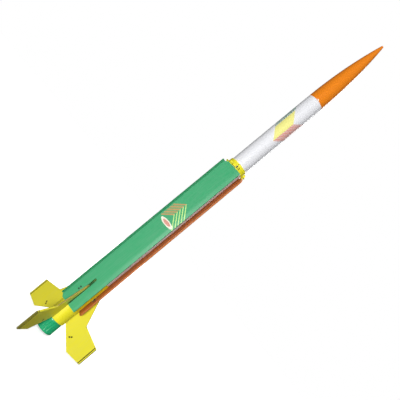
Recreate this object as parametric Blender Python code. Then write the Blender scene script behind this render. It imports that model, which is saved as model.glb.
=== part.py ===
"""Helicopter-recovery model rocket: a paper body tube with three hinged rotor blades folded along it.

Metres, +Z towards the nose. The origin is on the rocket's long axis, in the plane of the three fin feet.
Sizes below are in millimetres. Each of the three stations round the tube has a fin, a blade and its
hinge, drawn in the station's own axes: X outwards, Y round the tube, Z up the rocket.
"""

import math

import bmesh
import bpy
from mathutils import Matrix, Vector

MM = 0.001

# ---- driving dimensions ----
TUBE_OD = 24.8
TUBE_WALL = 0.35
TUBE_BOTTOM = 20.8
TUBE_TOP = 450.5
NOSE_TIP = 575.0
NOSE_TIP_ROUNDING = 1.6
NOSE_POINT_BEYOND = 7.5
NOSE_SHOULDER = 20.0
NOSE_WALL = 1.0
GLUE_GAP = 0.15

FIN_THICKNESS = 2.4
FIN_REACH = 67.0
FIN_FOOT_INNER = 42.4
FIN_TIP_HEIGHT = 28.3
FIN_KINK = (34.6, 39.3)
FIN_ROOT_BOTTOM = 24.0
FIN_ROOT_TOP = 87.5
SLEEVE_TOP = 93.5
SLEEVE_WALL = 0.55

BLADE_BOTTOM = 45.3
BLADE_TOP = 308.7
BLADE_WIDTH = 27.4
BLADE_THICKNESS = 2.4
BLADE_INNER = 13.5
BLADE_LEADING_R = 1.0
BLADE_TRAILING_DROP = 0.45
BLADE_TRAILING_TAPER = 5.0
BLADE_TOP_CUT = 4.5
BLADE_LOW_CUT = 3.0
SLOT_MARGIN = 0.45

HINGE_RADIUS = 14.9
HINGE_HEIGHT = 311.7
HINGE_CANT = math.radians(5.0)
PIN_R = 0.6
PIN_HALF_LENGTH = 7.8
RUNNING_GAP = 0.15
HUB_BOTTOM = 309.5
HUB_TOP = 317.6
HUB_R = 13.6
LUG_HALF_WIDTH = 2.8
LUG_FACE = 16.6

CATCH_SIDE = -5.4
CATCH_HEIGHT = 70.1
CATCH_TANG_SPACING = 3.2
CATCH_STRIP = 1.0
CATCH_REACH = 8.8
CATCH_SLOT_WIDTH = 3.0
CATCH_SLOT_HEIGHT = 8.0

TAIL_BOTTOM = 1.5
MOTOR_TUBE_OD = 18.7
MOTOR_TUBE_ID = 18.0
MOTOR_TUBE_BOTTOM = 10.0
MOTOR_TUBE_LENGTH = 70.0
MOTOR_LENGTH = 70.0
POD_TRAVEL = 8.0
LATCH_LIP_TOP = 67.0
LATCH_LIP_WALL = 0.8
HOOK_ANGLE = math.radians(60.0)
HOOK_HALF_WIDTH = 1.5
HOOK_STRIP = 0.6

ROD_LUG_OD = 4.4
ROD_LUG_ID = 3.7
ROD_LUG_LENGTH = 32.0
ROD_LUG_ANGLE = math.radians(180.0)
ROD_LUG_STANDOFF = 1.0
ROD_LUG_BOTTOMS = {"front": 262.0, "rear": 96.0}

# ---- sizes that follow ----
TUBE_R = TUBE_OD / 2
TUBE_BORE = TUBE_R - TUBE_WALL
NOSE_BASE = TUBE_TOP + 0.3
INSIDE_FIT = TUBE_BORE - GLUE_GAP
OUTSIDE_FIT = TUBE_R + GLUE_GAP
SLEEVE_R = OUTSIDE_FIT + SLEEVE_WALL
FIN_ROOT = SLEEVE_R + GLUE_GAP
BLADE_OUTER = BLADE_INNER + BLADE_THICKNESS
BLADE_HALF = BLADE_WIDTH / 2
MOTOR_R = MOTOR_TUBE_OD / 2
MOTOR_BORE = MOTOR_TUBE_ID / 2
MOTOR_TUBE_TOP = MOTOR_TUBE_BOTTOM + MOTOR_TUBE_LENGTH
HOOK_INNER = MOTOR_R + 0.3
HOOK_OUTER = HOOK_INNER + HOOK_STRIP
HOOK_TANG_R = 8.2
HOOK_BOTTOM = 2.6
HOOK_TOP = HOOK_BOTTOM + MOTOR_LENGTH + 3 * HOOK_STRIP + 0.4
NOTCH_R = HOOK_OUTER + 0.7
SPIGOT_BORE = 11.35
SPIGOT_TOP = 32.0
STOP_RING = (46.0, 50.0)
FORWARD_RING = (STOP_RING[1] + POD_TRAVEL + 0.3, 62.0)
LATCH_FLOOR_TOP = FORWARD_RING[1] + 2.0
HINGE_POINT = (HINGE_RADIUS, 0, HINGE_HEIGHT)
LEAF_THICKNESS = 0.8
LEAF_BOTTOM = BLADE_TOP - 16.5
LEAF_HALF = 7.4
KNUCKLE_LEFT = -3.6
KNUCKLE_RIGHT = 4.9
KNUCKLE_R = 1.5
SPRING_COIL_R = 1.15
SPRING_WIRE_R = 0.17
SPRING_TURNS = 3
SPRING_START = 3.25
SPRING_END = 4.4
SPRING_UPPER_LEG = 2.4
SPRING_LOWER_LEG = 10.0
BULKHEAD = (120.0, 124.0)
AFT_RING = (23.5, 26.5)

STATIONS = {1: 0.0, 2: math.radians(120.0), 3: math.radians(240.0)}
BLADE_COLOURS = {1: (0.04, 0.42, 0.18), 2: (0.70, 0.18, 0.03), 3: (0.04, 0.42, 0.18)}
SEGMENTS = 48


# ---------------------------------------------------------------- making objects

def material(name, colour, roughness=0.5, metallic=0.0):
    made = bpy.data.materials.get(name) or bpy.data.materials.new(name)
    made.use_nodes = True
    shader = made.node_tree.nodes["Principled BSDF"]
    shader.inputs["Base Color"].default_value = (*colour, 1.0)
    shader.inputs["Roughness"].default_value = roughness
    shader.inputs["Metallic"].default_value = metallic
    return made


def empty(name, location=(0, 0, 0), angle=0.0, parent=None):
    obj = bpy.data.objects.new(name, None)
    obj.location = Vector(location) * MM
    obj.rotation_euler = (0, 0, angle)
    obj.parent = parent
    bpy.context.scene.collection.objects.link(obj)
    return obj


def piece(name, bm, paint, parent=None, origin=(0, 0, 0)):
    """A named object from a bmesh drawn in its parent's axes in millimetres, with its origin where stated."""
    bmesh.ops.translate(bm, vec=-Vector(origin), verts=bm.verts)
    bmesh.ops.scale(bm, vec=(MM, MM, MM), verts=bm.verts)
    bmesh.ops.recalc_face_normals(bm, faces=bm.faces)
    mesh = bpy.data.meshes.new(name)
    bm.to_mesh(mesh)
    bm.free()
    mesh.materials.append(paint)
    mesh.shade_smooth()
    mesh.set_sharp_from_angle(angle=math.radians(30.0))
    obj = bpy.data.objects.new(name, mesh)
    obj.location = Vector(origin) * MM
    obj.parent = parent
    bpy.context.scene.collection.objects.link(obj)
    return obj


def combine(obj, bm, operation):
    """Adds or cuts a helper solid, drawn in the same axes as the object."""
    helper = piece(f"{operation.lower()}_{obj.name}", bm, obj.data.materials[0], obj.parent)
    helper.hide_render = True
    helper.display_type = "WIRE"
    modifier = obj.modifiers.new(operation.title(), "BOOLEAN")
    modifier.operation = operation
    modifier.solver = "EXACT"
    modifier.object = helper


def turned(bm, angle):
    bmesh.ops.rotate(bm, matrix=Matrix.Rotation(angle, 3, "Z"), verts=bm.verts)
    return bm


def canted(bm):
    """Leans hinge parts about the radial line through the pin, which gives an open blade its pitch."""
    bmesh.ops.rotate(bm, cent=HINGE_POINT, matrix=Matrix.Rotation(HINGE_CANT, 3, "X"), verts=bm.verts)
    return bm


# ---------------------------------------------------------------- shapes

def lathe(profile, segments=SEGMENTS):
    """Turns a closed loop of (radius, height) points about Z. A radius of 0 becomes a single point."""
    bm = bmesh.new()
    rings = []
    for radius, height in profile:
        if radius == 0:
            rings.append([bm.verts.new((0, 0, height))])
            continue
        angles = [2 * math.pi * step / segments for step in range(segments)]
        rings.append([bm.verts.new((radius * math.cos(a), radius * math.sin(a), height)) for a in angles])
    for here, there in zip(rings, rings[1:] + rings[:1]):
        if len(here) == 1 and len(there) == 1:
            continue
        for k in range(segments):
            m = (k + 1) % segments
            corners = [here[k % len(here)], here[m % len(here)], there[m % len(there)], there[k % len(there)]]
            bm.faces.new(list(dict.fromkeys(corners)))
    return bm


def tube(inner, outer, bottom, top, segments=SEGMENTS):
    return lathe([(inner, bottom), (outer, bottom), (outer, top), (inner, top)], segments)


def prism(outline, low, high, axis):
    """Carries an outline in the plane across an axis from low to high along it."""
    bm = bmesh.new()
    order = {"X": (2, 0, 1), "Y": (0, 2, 1), "Z": (0, 1, 2)}[axis]

    def corner(point, along):
        values = (*point, along)
        return bm.verts.new([values[i] for i in order])

    near = [corner(point, low) for point in outline]
    far = [corner(point, high) for point in outline]
    bm.faces.new(near)
    bm.faces.new(far)
    for i in range(len(outline)):
        j = (i + 1) % len(outline)
        bm.faces.new((near[i], near[j], far[j], far[i]))
    return bm


def block(x_range, y_range, z_range):
    (left, right), (front, back) = x_range, y_range
    return prism([(left, front), (right, front), (right, back), (left, back)], *z_range, "Z")


def rod(start, end, radius, segments=16):
    start, end = Vector(start), Vector(end)
    turn = (end - start).to_track_quat("Z", "Y").to_matrix().to_4x4()
    bm = bmesh.new()
    bmesh.ops.create_cone(bm, cap_ends=True, segments=segments, radius1=radius, radius2=radius,
                          depth=(end - start).length, matrix=Matrix.Translation((start + end) / 2) @ turn)
    return bm


def wire(points, radius, segments=6):
    """A tube with flat ends through a list of points, its rings square to the run."""
    bm = bmesh.new()
    points = [Vector(point) for point in points]
    rings = []
    side = Vector((0, 1, 0))
    for i, point in enumerate(points):
        along = (points[min(i + 1, len(points) - 1)] - points[max(i - 1, 0)]).normalized()
        side = (side - along * side.dot(along)).normalized()
        across = along.cross(side)
        ring = []
        for k in range(segments):
            angle = 2 * math.pi * k / segments
            ring.append(bm.verts.new(point + (side * math.cos(angle) + across * math.sin(angle)) * radius))
        rings.append(ring)
    for here, there in zip(rings, rings[1:]):
        for k in range(segments):
            m = (k + 1) % segments
            bm.faces.new((here[k], here[m], there[m], there[k]))
    bm.faces.new(rings[0])
    bm.faces.new(rings[-1])
    return bm


# ---------------------------------------------------------------- airframe

def catch_slot(angle):
    half = CATCH_SLOT_WIDTH / 2
    bottom = CATCH_HEIGHT - CATCH_SLOT_HEIGHT / 2
    return turned(block((7.0, 15.0), (CATCH_SIDE - half, CATCH_SIDE + half),
                        (bottom, bottom + CATCH_SLOT_HEIGHT)), angle)


def add_body_tube(paint):
    body = piece("body_tube", tube(TUBE_BORE, TUBE_R, TUBE_BOTTOM, TUBE_TOP), paint)
    for angle in STATIONS.values():
        combine(body, catch_slot(angle), "DIFFERENCE")


def add_fin_sleeve(paint):
    sleeve = piece("fin_sleeve", tube(OUTSIDE_FIT, SLEEVE_R, TUBE_BOTTOM, SLEEVE_TOP), paint)
    for angle in STATIONS.values():
        combine(sleeve, catch_slot(angle), "DIFFERENCE")


def add_fin(number, station, paint):
    """A flat fin: long swept strake, kinked leading edge, upright tip, flat foot, swept trailing edge."""
    outline = [
        (FIN_ROOT, FIN_ROOT_BOTTOM),
        (FIN_FOOT_INNER, 0.0),
        (FIN_REACH, 0.0),
        (FIN_REACH, FIN_TIP_HEIGHT),
        FIN_KINK,
        (FIN_ROOT, FIN_ROOT_TOP),
    ]
    fin = piece(f"fin_{number}", prism(outline, -FIN_THICKNESS / 2, FIN_THICKNESS / 2, "Y"), paint, station)
    bevel = fin.modifiers.new("Rounded edges", "BEVEL")
    bevel.width = 0.5 * MM
    bevel.segments = 1


def add_hub(paint):
    """The collar glued round the body tube, with one upright hinge lug at each station."""
    chamfer = 0.6
    hub = piece("rotor_hub", lathe([
        (OUTSIDE_FIT, HUB_BOTTOM),
        (HUB_R, HUB_BOTTOM),
        (HUB_R, HUB_TOP - chamfer),
        (HUB_R - chamfer, HUB_TOP),
        (OUTSIDE_FIT, HUB_TOP),
    ]), paint)
    lug = [
        (HUB_R - 0.6, HUB_BOTTOM + 0.3),
        (LUG_FACE - 0.6, HUB_BOTTOM + 0.3),
        (LUG_FACE, HUB_BOTTOM + 0.9),
        (LUG_FACE, HINGE_HEIGHT + 2.0),
        (LUG_FACE - 1.0, HUB_TOP - 1.2),
        (HUB_R - 0.6, HUB_TOP - 0.9),
    ]
    for angle in STATIONS.values():
        combine(hub, turned(prism(lug, -LUG_HALF_WIDTH, LUG_HALF_WIDTH, "Y"), angle), "UNION")
    for angle in STATIONS.values():
        combine(hub, turned(canted(pin_rod(LUG_HALF_WIDTH + 2.0, PIN_R + RUNNING_GAP)), angle), "DIFFERENCE")


def pin_rod(half_length, radius):
    return rod((HINGE_RADIUS, -half_length, HINGE_HEIGHT), (HINGE_RADIUS, half_length, HINGE_HEIGHT), radius)


def add_hinge_pin(number, station, paint):
    piece(f"hinge_pin_{number}", canted(pin_rod(PIN_HALF_LENGTH, PIN_R)), paint, station)


def add_blade_spring(number, station, paint):
    """A torsion spring round the pin: one leg up the hub, a coil, and one leg down behind the blade."""
    per_turn = 12
    steps = SPRING_TURNS * per_turn
    points = [(HINGE_RADIUS - SPRING_COIL_R + 0.3, SPRING_START, HINGE_HEIGHT + SPRING_UPPER_LEG)]
    for step in range(steps + 1):
        angle = math.pi + 2 * math.pi * step / per_turn
        points.append((
            HINGE_RADIUS + SPRING_COIL_R * math.cos(angle),
            SPRING_START + (SPRING_END - SPRING_START) * step / steps,
            HINGE_HEIGHT + SPRING_COIL_R * math.sin(angle),
        ))
    leg = BLADE_INNER - 0.55
    points.append((leg + 0.1, SPRING_END, HINGE_HEIGHT - 2.6))
    points.append((leg, SPRING_END, HINGE_HEIGHT - SPRING_LOWER_LEG))
    piece(f"blade_spring_{number}", canted(wire(points, SPRING_WIRE_R)), paint, station)


def add_launch_lugs(paint, wood):
    """Two short tubes for the launch rod, on strips along the back of the body tube."""
    foot = TUBE_R + GLUE_GAP
    centre = foot + ROD_LUG_STANDOFF + GLUE_GAP + ROD_LUG_OD / 2
    for name, bottom in ROD_LUG_BOTTOMS.items():
        bm = tube(ROD_LUG_ID / 2, ROD_LUG_OD / 2, bottom, bottom + ROD_LUG_LENGTH, segments=20)
        bmesh.ops.translate(bm, vec=(centre, 0, 0), verts=bm.verts)
        piece(f"launch_lug_{name}", turned(bm, ROD_LUG_ANGLE), paint)
        strip = block((foot, foot + ROD_LUG_STANDOFF), (-1.2, 1.2), (bottom + 1, bottom + ROD_LUG_LENGTH - 1))
        piece(f"lug_standoff_{name}", turned(strip, ROD_LUG_ANGLE), wood)


def add_inner_discs(paint):
    piece("bulkhead", rod((0, 0, BULKHEAD[0]), (0, 0, BULKHEAD[1]), INSIDE_FIT, SEGMENTS), paint)
    piece("pod_stop_ring", tube(NOTCH_R, INSIDE_FIT, *STOP_RING), paint)


# ---------------------------------------------------------------- rotor blades

def add_blade(number, station, paint):
    """A flat blade, its outer face rounded over at the left edge and tapered to the right one."""
    corner = 0.3
    section = [(BLADE_INNER, -BLADE_HALF + corner), (BLADE_INNER + corner, -BLADE_HALF)]
    for step in range(5):
        angle = math.pi / 2 * step / 4
        section.append((BLADE_OUTER - BLADE_LEADING_R * (1 - math.sin(angle)),
                        -BLADE_HALF + BLADE_LEADING_R * (1 - math.cos(angle))))
    section += [
        (BLADE_OUTER, BLADE_HALF - BLADE_TRAILING_TAPER),
        (BLADE_OUTER - BLADE_TRAILING_DROP, BLADE_HALF),
        (BLADE_INNER + corner, BLADE_HALF),
        (BLADE_INNER, BLADE_HALF - corner),
    ]
    blade = piece(f"rotor_blade_{number}", prism(section, BLADE_BOTTOM, BLADE_TOP, "Z"), paint, station,
                  HINGE_POINT)
    combine(blade, fin_slot(), "DIFFERENCE")
    combine(blade, corner_cut(BLADE_TOP, 1, BLADE_TOP_CUT), "DIFFERENCE")
    combine(blade, corner_cut(BLADE_BOTTOM, -1, BLADE_LOW_CUT), "DIFFERENCE")
    pocket = block((BLADE_INNER - 1.0, BLADE_INNER + LEAF_THICKNESS + 0.3),
                   (-LEAF_HALF - 0.3, LEAF_HALF + 0.3), (LEAF_BOTTOM - 0.3, BLADE_TOP + 2.0))
    combine(blade, pocket, "DIFFERENCE")
    half = CATCH_STRIP / 2 + 0.2
    for height in catch_tangs():
        hole = block((BLADE_INNER - 2, BLADE_OUTER + 2), (CATCH_SIDE - half, CATCH_SIDE + half),
                     (height - half, height + half))
        combine(blade, hole, "DIFFERENCE")


def catch_tangs():
    return (CATCH_HEIGHT, CATCH_HEIGHT - CATCH_TANG_SPACING)


def fin_slot():
    """A slot from the blade's lower end, with a round top, that the fin's root stands in."""
    half = FIN_THICKNESS / 2 + SLOT_MARGIN
    outline = [(-half, BLADE_BOTTOM - 5.0), (half, BLADE_BOTTOM - 5.0)]
    for step in range(9):
        angle = math.pi * step / 8
        outline.append((half * math.cos(angle), FIN_ROOT_TOP + 1.5 + half * math.sin(angle)))
    return prism(outline, BLADE_INNER - 3.0, BLADE_OUTER + 3.0, "X")


def corner_cut(height, direction, size):
    """The wedge that clips a left-hand corner of the blade at 45 degrees."""
    outline = [
        (-BLADE_HALF - 3.0, height - direction * (size + 3.0)),
        (-BLADE_HALF - 3.0, height + direction * 3.0),
        (-BLADE_HALF + size + 3.0, height + direction * 3.0),
    ]
    return prism(outline, BLADE_INNER - 3.0, BLADE_OUTER + 3.0, "X")


def add_hinge_leaf(number, station, paint):
    """The blade's half of its hinge: a plate let into the inner face, with a knuckle at each side."""
    shoulder = BLADE_TOP - 0.4
    lean = math.tan(HINGE_CANT)
    left_top = HINGE_HEIGHT - 0.15 + lean * (KNUCKLE_LEFT - LEAF_HALF) / 2
    right_top = HINGE_HEIGHT - 0.15 + lean * (KNUCKLE_RIGHT + LEAF_HALF) / 2
    plate = [
        (-LEAF_HALF, LEAF_BOTTOM),
        (LEAF_HALF, LEAF_BOTTOM),
        (LEAF_HALF, right_top),
        (KNUCKLE_RIGHT, right_top),
        (KNUCKLE_RIGHT, shoulder),
        (KNUCKLE_LEFT, shoulder),
        (KNUCKLE_LEFT, left_top),
        (-LEAF_HALF, left_top),
    ]
    leaf = piece(f"hinge_leaf_{number}", prism(plate, BLADE_INNER, BLADE_INNER + LEAF_THICKNESS, "X"),
                 paint, station, HINGE_POINT)
    proud = 0.12
    for near, far in ((-LEAF_HALF - proud, KNUCKLE_LEFT + proud), (KNUCKLE_RIGHT - proud, LEAF_HALF + proud)):
        knuckle = rod((HINGE_RADIUS, near, HINGE_HEIGHT), (HINGE_RADIUS, far, HINGE_HEIGHT), KNUCKLE_R)
        combine(leaf, canted(knuckle), "UNION")
    combine(leaf, canted(pin_rod(PIN_HALF_LENGTH + 2.0, PIN_R + RUNNING_GAP)), "DIFFERENCE")


def add_blade_catch(number, station, paint):
    """A flat spring-steel hook behind the blade, held by two tangs whose ends show on its outer face."""
    half = CATCH_STRIP / 2
    back = (BLADE_INNER - 1.0, BLADE_INNER - 0.3)
    end = BLADE_OUTER + 0.2
    upper, lower = catch_tangs()
    outline = [
        (CATCH_REACH - half, LATCH_LIP_TOP + 0.5),
        (CATCH_REACH + half, LATCH_LIP_TOP + 0.5),
        (CATCH_REACH + half, upper - half),
        (back[0], upper - half),
        (back[0], lower - half),
        (end, lower - half),
        (end, lower + half),
        (back[1], lower + half),
        (back[1], upper - half),
        (end, upper - half),
        (end, upper + half),
        (CATCH_REACH - half, upper + half),
    ]
    piece(f"blade_catch_{number}", prism(outline, CATCH_SIDE - half, CATCH_SIDE + half, "Y"), paint, station,
          HINGE_POINT)


# ---------------------------------------------------------------- motor pod

def hook_notch(outer, bottom, top):
    half = HOOK_HALF_WIDTH + 0.4
    return turned(block((MOTOR_R - 1.0, outer), (-half, half), (bottom - 1.0, top + 1.0)), HOOK_ANGLE)


def add_tail_cap(paint, pod):
    """The pod's outer end: as wide as the body tube, with a spigot that slides inside it."""
    skirt = 11.5
    shoulder = TUBE_BOTTOM - 0.3
    piece("tail_cap", lathe([
        (skirt, TAIL_BOTTOM),
        (TUBE_R - 0.3, TAIL_BOTTOM),
        (TUBE_R, TAIL_BOTTOM + 0.6),
        (TUBE_R, shoulder),
        (INSIDE_FIT, shoulder),
        (INSIDE_FIT, SPIGOT_TOP),
        (SPIGOT_BORE, SPIGOT_TOP),
        (SPIGOT_BORE, shoulder - 2.0),
        (skirt, shoulder - 2.4),
    ]), paint, pod)


def add_pod_rings(paint, plastic, pod):
    bore = MOTOR_R + GLUE_GAP
    aft = piece("aft_ring", tube(bore, SPIGOT_BORE - GLUE_GAP, *AFT_RING), paint, pod)
    combine(aft, hook_notch(SPIGOT_BORE + 1.0, *AFT_RING), "DIFFERENCE")
    forward = piece("forward_ring", tube(bore, INSIDE_FIT, *FORWARD_RING), paint, pod)
    combine(forward, hook_notch(NOTCH_R, *FORWARD_RING), "DIFFERENCE")
    floor = FORWARD_RING[1] + GLUE_GAP
    lip = INSIDE_FIT - LATCH_LIP_WALL
    latch = piece("latch_ring", lathe([
        (bore, floor),
        (INSIDE_FIT, floor),
        (INSIDE_FIT, LATCH_LIP_TOP),
        (lip, LATCH_LIP_TOP),
        (lip, LATCH_FLOOR_TOP),
        (bore, LATCH_FLOOR_TOP),
    ]), plastic, pod)
    combine(latch, hook_notch(NOTCH_R, floor, LATCH_FLOOR_TOP), "DIFFERENCE")


def add_motor_tube(paint, pod):
    motor_tube = piece("motor_tube", tube(MOTOR_BORE, MOTOR_R, MOTOR_TUBE_BOTTOM, MOTOR_TUBE_TOP), paint, pod)
    half = HOOK_HALF_WIDTH + 0.4
    slit = turned(block((MOTOR_BORE - 2.0, MOTOR_R + 1.0), (-half, half), (HOOK_TOP - 1.2, HOOK_TOP + 0.5)),
                  HOOK_ANGLE)
    combine(motor_tube, slit, "DIFFERENCE")
    piece("thrust_ring", tube(6.6, MOTOR_BORE - GLUE_GAP, HOOK_TOP + 0.4, MOTOR_TUBE_TOP - 0.5), paint, pod)


def add_engine_hook(paint, pod):
    """A spring strip with a tang bent in at each end: in front of the motor, and behind it."""
    outline = [
        (HOOK_TANG_R, HOOK_BOTTOM),
        (HOOK_OUTER - 0.4, HOOK_BOTTOM),
        (HOOK_OUTER, HOOK_BOTTOM + 0.4),
        (HOOK_OUTER, HOOK_TOP),
        (HOOK_TANG_R, HOOK_TOP),
        (HOOK_TANG_R, HOOK_TOP - HOOK_STRIP),
        (HOOK_INNER, HOOK_TOP - HOOK_STRIP),
        (HOOK_INNER, HOOK_BOTTOM + HOOK_STRIP),
        (HOOK_TANG_R, HOOK_BOTTOM + HOOK_STRIP),
    ]
    pivot = empty("engine_hook_pivot", angle=HOOK_ANGLE, parent=pod)
    piece("engine_hook", prism(outline, -HOOK_HALF_WIDTH, HOOK_HALF_WIDTH, "Y"), paint, pivot,
          (HOOK_INNER, 0, HOOK_TOP))


# ---------------------------------------------------------------- nose

def nose_radius(height):
    """A tangent ogive whose point would lie past the tip, so the nose ends blunt."""
    length = NOSE_TIP + NOSE_POINT_BEYOND - NOSE_BASE
    arc = (TUBE_R ** 2 + length ** 2) / (2 * TUBE_R)
    return math.sqrt(arc ** 2 - (height - NOSE_BASE) ** 2) - arc + TUBE_R


def add_nose(paint, slide):
    """A thin-walled ogive with a shoulder that pushes into the body tube."""
    shoulder_bottom = TUBE_TOP - NOSE_SHOULDER
    rounding = NOSE_TIP - NOSE_TIP_ROUNDING
    steps = 15
    outer = [(INSIDE_FIT - 0.5, shoulder_bottom), (INSIDE_FIT, shoulder_bottom + 1.0), (INSIDE_FIT, NOSE_BASE)]
    for step in range(steps):
        height = NOSE_BASE + (rounding - NOSE_BASE) * step / (steps - 1)
        outer.append((nose_radius(height), height))
    for step in (1, 2, 3):
        angle = math.pi / 2 * step / 3
        outer.append((nose_radius(rounding) * math.cos(angle) if step < 3 else 0,
                      rounding + NOSE_TIP_ROUNDING * math.sin(angle)))
    inner = [(INSIDE_FIT - NOSE_WALL, shoulder_bottom), (INSIDE_FIT - NOSE_WALL, NOSE_BASE)]
    for share in (0.04, 0.25, 0.5, 0.75):
        height = NOSE_BASE + (NOSE_TIP - NOSE_BASE) * share
        inner.append((nose_radius(height) - 1.3 * NOSE_WALL, height))
    inner.append((0, NOSE_BASE + (NOSE_TIP - NOSE_BASE) * 0.92))
    piece("nose_cone", lathe(outer + inner[::-1], 40), paint, slide)


def add_nose_plug(paint, slide):
    """The disc that closes the nose cone's shoulder, with an eye below it."""
    bottom = TUBE_TOP - NOSE_SHOULDER + 0.6
    disc = rod((0, 0, bottom), (0, 0, bottom + 2.5), INSIDE_FIT - NOSE_WALL - GLUE_GAP, SEGMENTS)
    plug = piece("nose_plug", disc, paint, slide)
    eye = lathe([(3.0 + 0.9 * math.cos(a), 0.9 * math.sin(a)) for a in
                 (2 * math.pi * k / 8 for k in range(8))], 20)
    bmesh.ops.rotate(eye, matrix=Matrix.Rotation(math.pi / 2, 3, "X"), verts=eye.verts)
    bmesh.ops.translate(eye, vec=(0, 0, bottom - 2.2), verts=eye.verts)
    combine(plug, eye, "UNION")


# ---------------------------------------------------------------- the whole rocket

def main():
    for obj in list(bpy.data.objects):
        bpy.data.objects.remove(obj)
    yellow = material("yellow_paint", (0.90, 0.82, 0.04), 0.35)
    green = material("green_plastic", (0.03, 0.40, 0.17), 0.3)
    orange = material("orange_plastic", (0.90, 0.28, 0.03), 0.3)
    white = material("white_paper", (0.88, 0.89, 0.92), 0.4)
    kraft = material("kraft_paper", (0.45, 0.32, 0.20), 0.8)
    steel = material("spring_steel", (0.45, 0.46, 0.48), 0.35, 1.0)
    balsa = material("balsa", (0.72, 0.58, 0.38), 0.8)

    add_body_tube(white)
    add_fin_sleeve(yellow)
    add_hub(yellow)
    add_launch_lugs(white, balsa)
    add_inner_discs(kraft)
    for number, angle in STATIONS.items():
        station = empty(f"station_{number}", angle=angle)
        add_fin(number, station, yellow)
        add_hinge_pin(number, station, steel)
        add_blade_spring(number, station, steel)
        add_blade(number, station, material(f"blade_paint_{number}", BLADE_COLOURS[number], 0.35))
        add_hinge_leaf(number, station, yellow)
        add_blade_catch(number, station, steel)
    pod = empty("pod_slide")
    add_tail_cap(green, pod)
    add_pod_rings(kraft, green, pod)
    add_motor_tube(kraft, pod)
    add_engine_hook(steel, pod)
    nose = empty("nose_slide")
    add_nose(orange, nose)
    add_nose_plug(orange, nose)


main()
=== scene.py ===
"""Looks for the helicopter-recovery model rocket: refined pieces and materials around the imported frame.

Lengths are in millimetres, in the CAD's own frame, and become metres as each piece is made. A piece of one
of the three stations round the tube is drawn at station 1, outwards along +X, and turned to its place.
"""

import math

import bmesh
import bpy
from mathutils import Matrix, Vector


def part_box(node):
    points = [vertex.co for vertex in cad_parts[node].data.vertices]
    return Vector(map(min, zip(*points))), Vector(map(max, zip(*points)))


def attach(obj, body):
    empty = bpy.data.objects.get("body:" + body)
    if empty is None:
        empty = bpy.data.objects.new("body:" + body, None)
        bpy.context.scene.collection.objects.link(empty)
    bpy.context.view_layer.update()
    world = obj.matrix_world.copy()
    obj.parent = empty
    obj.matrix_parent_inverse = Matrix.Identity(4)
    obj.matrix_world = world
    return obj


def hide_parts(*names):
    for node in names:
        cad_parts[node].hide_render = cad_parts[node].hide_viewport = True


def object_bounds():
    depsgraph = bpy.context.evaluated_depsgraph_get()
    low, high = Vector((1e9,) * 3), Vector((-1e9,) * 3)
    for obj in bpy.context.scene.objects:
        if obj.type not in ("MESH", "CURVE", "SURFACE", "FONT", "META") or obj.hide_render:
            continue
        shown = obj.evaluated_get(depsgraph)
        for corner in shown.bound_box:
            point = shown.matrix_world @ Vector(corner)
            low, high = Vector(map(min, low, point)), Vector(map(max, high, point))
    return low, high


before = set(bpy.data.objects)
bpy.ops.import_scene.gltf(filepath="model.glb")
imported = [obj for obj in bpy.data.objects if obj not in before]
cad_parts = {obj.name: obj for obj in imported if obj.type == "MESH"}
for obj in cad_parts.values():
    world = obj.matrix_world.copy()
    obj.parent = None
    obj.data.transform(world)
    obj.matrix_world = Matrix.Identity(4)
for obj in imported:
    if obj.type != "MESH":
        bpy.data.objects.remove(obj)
CAD_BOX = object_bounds()

MM = 0.001
STATIONS = {1: 0.0, 2: math.radians(120.0), 3: math.radians(240.0)}


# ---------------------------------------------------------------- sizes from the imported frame

def extent(node, axis):
    """Lowest and highest coordinate of a CAD node along an axis, in millimetres."""
    low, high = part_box(node)
    return low[axis] / MM, high[axis] / MM


TUBE_R = extent("body_tube", 0)[1]
TUBE_BOTTOM, TUBE_TOP = extent("body_tube", 2)
PAPER_WALL = 0.35
SLIP_FIT = 0.15
TUBE_BORE = TUBE_R - PAPER_WALL
INSIDE_FIT = TUBE_BORE - SLIP_FIT
SLEEVE_R = extent("fin_sleeve", 0)[1]
SLEEVE_TOP = extent("fin_sleeve", 2)[1]
FIN_ROOT, FIN_TIP = extent("fin_1", 0)
FIN_HALF = extent("fin_1", 1)[1]
FIN_ROOT_TOP = extent("fin_1", 2)[1]
FIN_ROOT_BOTTOM = 24.0
FIN_FOOT_R = 42.4
FIN_TIP_TOP = 28.3
FIN_KINK = (34.6, 39.3)
PIN_HOLES = (31.3, 16.6)
BLADE_INNER, BLADE_OUTER = extent("rotor_blade_1", 0)
BLADE_LEFT, BLADE_RIGHT = extent("rotor_blade_1", 1)
BLADE_BOTTOM, BLADE_TOP = extent("rotor_blade_1", 2)
TOP_CUT, LOW_CUT = 4.5, 3.0
HUB_BOTTOM, HUB_TOP = extent("rotor_hub", 2)
LUG_FACE = extent("rotor_hub", 0)[1]
HUB_R = 13.6
HINGE_R, HINGE_Z = 14.9, 311.7
HINGE_CANT = math.radians(5.0)
PIN_R, PIN_BORE_R = 0.6, 0.75
LEAF_HALF, LEAF_HEIGHT = 7.4, 16.5
CAP_BOTTOM, CAP_TOP = extent("tail_cap", 2)
NOSE_BOTTOM, NOSE_TIP = extent("nose_cone", 2)
NOSE_BASE = TUBE_TOP + 0.3
CATCH_Y = sum(extent("blade_catch_1", 1)) / 2
CATCH_FOOT, CATCH_HEAD = extent("blade_catch_1", 2)
CATCH_TANGS = (CATCH_HEAD - 0.5, CATCH_HEAD - 3.7)


# ---------------------------------------------------------------- drawing

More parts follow.
